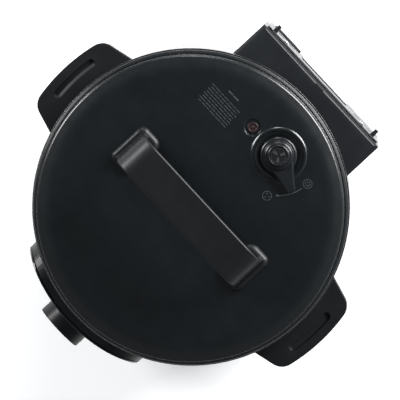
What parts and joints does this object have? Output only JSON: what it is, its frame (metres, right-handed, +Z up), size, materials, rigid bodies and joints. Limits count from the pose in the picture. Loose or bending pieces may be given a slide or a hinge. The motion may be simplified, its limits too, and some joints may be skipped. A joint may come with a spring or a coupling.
{
  "type": "electric pressure cooker",
  "caption": "Round black electric pressure cooker with a strap-handled twist lid, release valve, front panel with a rotary dial, side handles and a rear housing.",
  "frame": {"origin": "on the pot's axis, at the plane of the feet's soles", "axes": "+Z up along the pot's axis, -Y towards the control panel, +X towards the right side handle"},
  "size_m": [0.378, 0.376, 0.33],
  "materials": {
    "lid_plastic": "satin-gloss black",
    "handle_plastic": "satin black",
    "gloss_panel": "piano black",
    "shell_paint": "satin black paint",
    "steel": "brushed stainless",
    "aluminium": "satin",
    "silicone": "translucent grey silicone",
    "red_plastic": "satin red",
    "rubber": "matt black",
    "smoke_plastic": "smoked clear",
    "board": "solder mask green",
    "component": "moulded black",
    "brass": "plain"
  },
  "bodies": {
    "base": {"base_tray": "handle_plastic", "control_board": "board", "cooker_liner": "aluminium", "cover_screw_left": "steel", "cover_screw_right": "steel", "display_module": "component", "display_window": "smoke_plastic", "encoder_case": "component", "foot_front_left": "rubber", "foot_front_right": "rubber", "foot_rear_left": "rubber", "foot_rear_right": "rubber", "heating_plate": "aluminium", "inlet_pin_earth": "brass", "inlet_pin_line": "brass", "inlet_pin_neutral": "brass", "locking_ring": "steel", "mains_inlet": "component", "outer_shell": "shell_paint", "panel_fascia": "gloss_panel", "panel_housing": "handle_plastic", "power_board": "board", "power_relay": "component", "pressure_switch": "component", "rear_cover": "handle_plastic", "rear_housing": "handle_plastic", "rim_collar": "lid_plastic", "sensor_spring": "steel", "sensor_stirrup": "steel", "side_handle_left": "handle_plastic", "side_handle_right": "handle_plastic", "terminal_block": "silicone", "thermal_fuse": "brass"},
    "pot": {"inner_pot": "steel"},
    "seal": {"sealing_ring": "silicone"},
    "lid": {"lid_cover": "lid_plastic", "lid_pan": "steel", "seal_rack": "steel", "lid_centre_screw": "steel", "steam_pipe": "steel", "steam_shield": "steel", "lid_handle": "handle_plastic", "handle_screw_left": "steel", "handle_screw_right": "steel"},
    "valve": {"valve_knob": "handle_plastic", "valve_weight": "steel"},
    "float": {"float_pin": "red_plastic", "float_seal": "silicone"},
    "dial": {"dial_knob": "handle_plastic", "dial_disc": "steel", "dial_shaft": "steel"},
    "start": {"button_start": "handle_plastic"},
    "cancel": {"button_cancel": "handle_plastic"},
    "sensor": {"sensor_plunger": "aluminium"},
    "cup": {"drip_cup": "smoke_plastic"}
  },
  "joints": [
    {"name": "pot_lift", "type": "slide", "parent": "base", "child": "pot", "axis": [0, 0, 1], "range_m": [0, 0.2]},
    {"name": "lid_lift", "type": "slide", "parent": "pot", "child": "seal", "axis": [0, 0, 1], "range_m": [0, 0.15]},
    {"name": "lid_turn", "type": "hinge", "parent": "seal", "child": "lid", "pos_m": [0, 0, 0.25], "axis": [0, 0, 1], "range_deg": [0, 30]},
    {"name": "valve_turn", "type": "hinge", "parent": "lid", "child": "valve", "pos_m": [0.021, 0.1012, 0.276], "axis": [0, 0, 1], "range_deg": [-30, 30]},
    {"name": "float_rise", "type": "slide", "parent": "lid", "child": "float", "axis": [0, 0, 1], "range_m": [0, 0.0045]},
    {"name": "dial_turn", "type": "hinge", "parent": "base", "child": "dial", "pos_m": [0, -0.1715, 0.16], "axis": [0, -1, 0], "continuous": true},
    {"name": "start_press", "type": "slide", "parent": "base", "child": "start", "axis": [0, 1, 0], "range_m": [0, 0.0012], "stiffness_N_per_m": 250, "springref_m": -0.0006},
    {"name": "cancel_press", "type": "slide", "parent": "base", "child": "cancel", "axis": [0, 1, 0], "range_m": [0, 0.0012], "stiffness_N_per_m": 250, "springref_m": -0.0006},
    {"name": "sensor_press", "type": "slide", "parent": "base", "child": "sensor", "axis": [0, 0, 1], "range_m": [-0.002, 0], "stiffness_N_per_m": 600, "springref_m": 0.001, "deforming": ["sensor_spring"]},
    {"name": "cup_slide", "type": "slide", "parent": "base", "child": "cup", "axis": [0, 1, 0], "range_m": [0, 0.05]}
  ]
}
